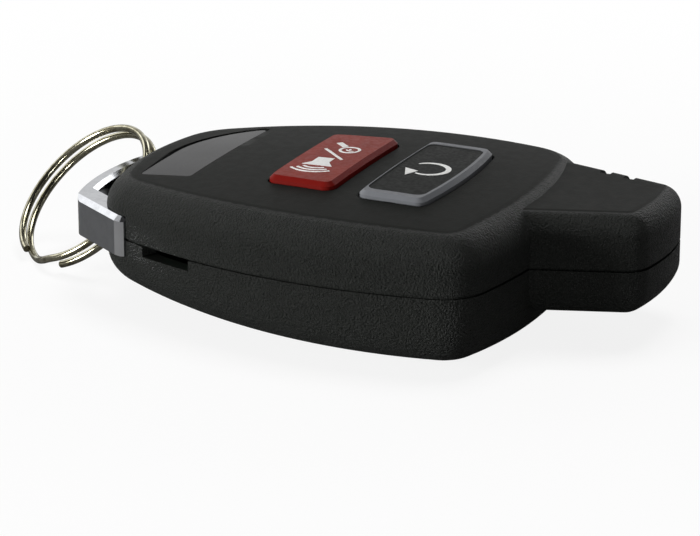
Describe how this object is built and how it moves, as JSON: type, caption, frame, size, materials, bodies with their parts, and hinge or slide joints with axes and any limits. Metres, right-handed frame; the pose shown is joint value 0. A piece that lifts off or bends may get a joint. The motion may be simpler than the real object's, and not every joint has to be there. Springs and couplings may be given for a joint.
{
  "type": "car key fob",
  "caption": "Remote-start car key fob with a red and a grey push button, smoked window, aerial nose, chrome key bracket and split ring.",
  "frame": {"origin": "on the flat of the belly that the fob rests on, 0.25 mm behind the front edge of the red button, on the body's centre plane", "axes": "+X to the aerial nose, +Y across the body to the left seen from the ring end, +Z out of the button face"},
  "size_m": [0.0799, 0.0414, 0.0171],
  "materials": {
    "case_plastic": "fine-grained black moulded plastic",
    "bracket_chrome": "bright chrome plating",
    "ring_nickel": "polished nickel-plated spring steel",
    "smoked_lens": "glossy smoked acrylic",
    "button_red": "satin red moulded plastic",
    "button_grey": "satin grey moulded plastic",
    "button_dark": "satin dark grey plastic",
    "board_laminate": "green solder mask",
    "switch_plastic": "black thermoplastic",
    "sheet_steel": "tinned sheet steel",
    "cell_steel": "brushed stainless steel",
    "gold_contact": "gold-flashed contact",
    "chip_epoxy": "black epoxy",
    "chip_ceramic": "ceramic",
    "led_clear": "clear epoxy",
    "copper_wire": "enamelled copper wire"
  },
  "bodies": {
    "case_bottom": {"lower_shell": "case_plastic", "key_bracket": "bracket_chrome", "circuit_board": "board_laminate", "panic_switch_base": "switch_plastic", "panic_switch_cover": "sheet_steel", "start_switch_base": "switch_plastic", "start_switch_cover": "sheet_steel", "battery_cell": "cell_steel", "battery_clip": "sheet_steel", "contact_pad": "gold_contact", "controller_chip": "chip_epoxy", "radio_can": "sheet_steel", "crystal_can": "sheet_steel", "status_led": "led_clear", "chip_parts": "chip_ceramic", "aerial_coil": "copper_wire"},
    "case_top": {"upper_shell": "case_plastic", "window_lens": "smoked_lens"},
    "panic_button": {"red_button": "button_red"},
    "start_button": {"start_button_rim": "button_grey", "start_button_face": "button_dark"},
    "panic_plunger": {"panic_switch_plunger": "switch_plastic"},
    "start_plunger": {"start_switch_plunger": "switch_plastic"},
    "key_ring": {"split_ring": "ring_nickel"}
  },
  "joints": [
    {"name": "case_lift", "type": "slide", "parent": "case_bottom", "child": "case_top", "axis": [0, 0, 1], "range_m": [0, 0.02]},
    {"name": "panic_press", "type": "slide", "parent": "case_top", "child": "panic_button", "axis": [0, 0, -1], "range_m": [0, 0.0004], "stiffness_N_per_m": 600, "springref_m": -0.0008},
    {"name": "start_press", "type": "slide", "parent": "case_top", "child": "start_button", "axis": [0, 0, -1], "range_m": [0, 0.0004], "stiffness_N_per_m": 600, "springref_m": -0.0008},
    {"name": "panic_click", "type": "slide", "parent": "case_bottom", "child": "panic_plunger", "axis": [0, 0, -1], "range_m": [0, 0.0004]},
    {"name": "start_click", "type": "slide", "parent": "case_bottom", "child": "start_plunger", "axis": [0, 0, -1], "range_m": [0, 0.0004]},
    {"name": "ring_swing", "type": "hinge", "parent": "case_bottom", "child": "key_ring", "pos_m": [-0.03168, 0, 0.00825], "axis": [0, 1, 0], "range_deg": [-30, 10]}
  ],
  "couplings": [
    {"joint": "panic_click", "follows": "panic_press", "ratio": 1},
    {"joint": "start_click", "follows": "start_press", "ratio": 1}
  ]
}
